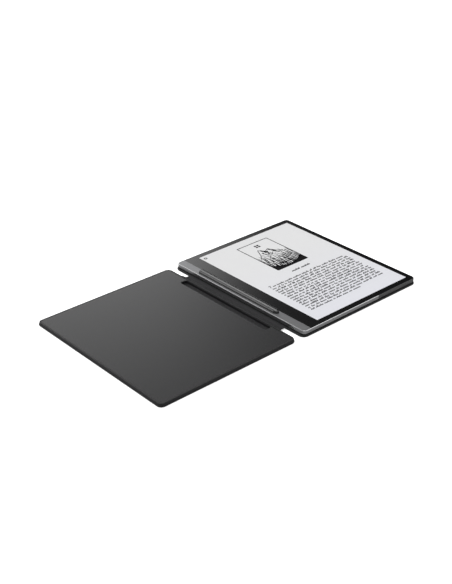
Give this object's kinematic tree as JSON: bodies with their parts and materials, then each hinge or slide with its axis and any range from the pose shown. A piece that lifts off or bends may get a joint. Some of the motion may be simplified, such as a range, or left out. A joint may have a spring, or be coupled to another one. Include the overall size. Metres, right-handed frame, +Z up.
{
  "type": "e-reader with folio cover and pen",
  "caption": "E-paper reader in an open folio cover: magnetic back panel, hinged spine, front flap with pen groove, pen in a channel in the metal strip.",
  "frame": {"origin": "middle of the open folio's footprint, on the surface it lies on; the middle of the hinge spine", "axes": "+X from the spine to the reader's right-hand edge, +Y up the page towards the reader's top edge, +Z up out of the display"},
  "size_m": [0.4054, 0.229, 0.0127],
  "materials": {
    "cover": "grained dark grey polymer leather",
    "cover_lining": "fine matt microfibre",
    "board": "raw stiffener board",
    "housing": "bead-blasted, anodised",
    "steel": "satin",
    "magnet": "nickel plated",
    "black_plastic": "moulded, matt",
    "grey_plastic": "moulded, matt, colour-matched to the metal",
    "lens": "etched anti-glare, printed border",
    "paper": "e-paper, matt",
    "clear": "clear moulded",
    "circuit": "solder mask",
    "flex": "polyimide film",
    "cell": "laminated pouch",
    "pen_body": "dark anodised, satin",
    "nib": "hard, worn smooth"
  },
  "bodies": {
    "folio_back": {"back_skin": "cover", "back_board": "board", "back_lining": "cover_lining", "back_magnet_1": "magnet", "back_magnet_2": "magnet", "back_magnet_3": "magnet", "back_magnet_4": "magnet"},
    "spine": {"spine_skin": "cover", "spine_lining": "cover_lining"},
    "flap": {"flap_skin": "cover", "flap_board": "board", "flap_lining": "cover_lining", "flap_magnet_1": "magnet", "flap_magnet_2": "magnet", "wake_magnet": "magnet"},
    "reader": {"housing": "housing", "antenna_cover": "grey_plastic", "front_lens": "lens", "bezel_mask": "black_plastic", "light_guide": "clear", "front_light_strip": "flex", "epaper_panel": "paper", "pen_digitizer": "circuit", "shield_sheet": "steel", "mid_frame": "black_plastic", "battery": "cell", "battery_cable": "flex", "main_board": "circuit", "processor_shield": "steel", "wireless_shield": "steel", "display_flex": "flex", "usb_port": "steel", "usb_board": "circuit", "usb_flex": "flex", "wireless_antenna": "flex", "microphone_1": "steel", "microphone_2": "steel", "hall_sensor": "black_plastic", "power_switch": "steel", "pen_holder_magnet_1": "magnet", "pen_holder_magnet_2": "magnet", "keeper_plate_1": "steel", "keeper_plate_2": "steel", "latch_plate_1": "steel", "latch_plate_2": "steel", "frame_screw_1": "steel", "frame_screw_2": "steel", "frame_screw_3": "steel", "frame_screw_4": "steel"},
    "power_button": {"power_button": "housing"},
    "pen": {"pen_barrel": "pen_body", "pen_tip_cone": "pen_body", "pen_cap": "pen_body", "pen_coil": "flex", "pressure_sensor": "steel", "pen_board": "circuit", "pen_magnet_1": "magnet", "pen_magnet_2": "magnet"},
    "nib": {"pen_nib": "nib"}
  },
  "joints": [
    {"name": "spine_fold", "type": "hinge", "parent": "folio_back", "child": "spine", "pos_m": [0.0047, 0, 0.00205], "axis": [0, -1, 0], "range_deg": [-90, 90]},
    {"name": "flap_fold", "type": "hinge", "parent": "spine", "child": "flap", "pos_m": [-0.0047, 0, 0.00205], "axis": [0, -1, 0], "range_deg": [-90, 90]},
    {"name": "reader_lift", "type": "slide", "parent": "folio_back", "child": "reader", "axis": [0, 0, 1], "range_m": [0, 0.03]},
    {"name": "pen_lift", "type": "slide", "parent": "reader", "child": "pen", "axis": [0, 0, 1], "range_m": [0, 0.02]},
    {"name": "nib_press", "type": "slide", "parent": "pen", "child": "nib", "axis": [0, 1, 0], "range_m": [0, 0.0003], "stiffness_N_per_m": 500, "springref_m": -0.0003},
    {"name": "power_press", "type": "slide", "parent": "reader", "child": "power_button", "axis": [0, -1, 0], "range_m": [0, 0.0003], "stiffness_N_per_m": 1500, "springref_m": -0.0005}
  ]
}
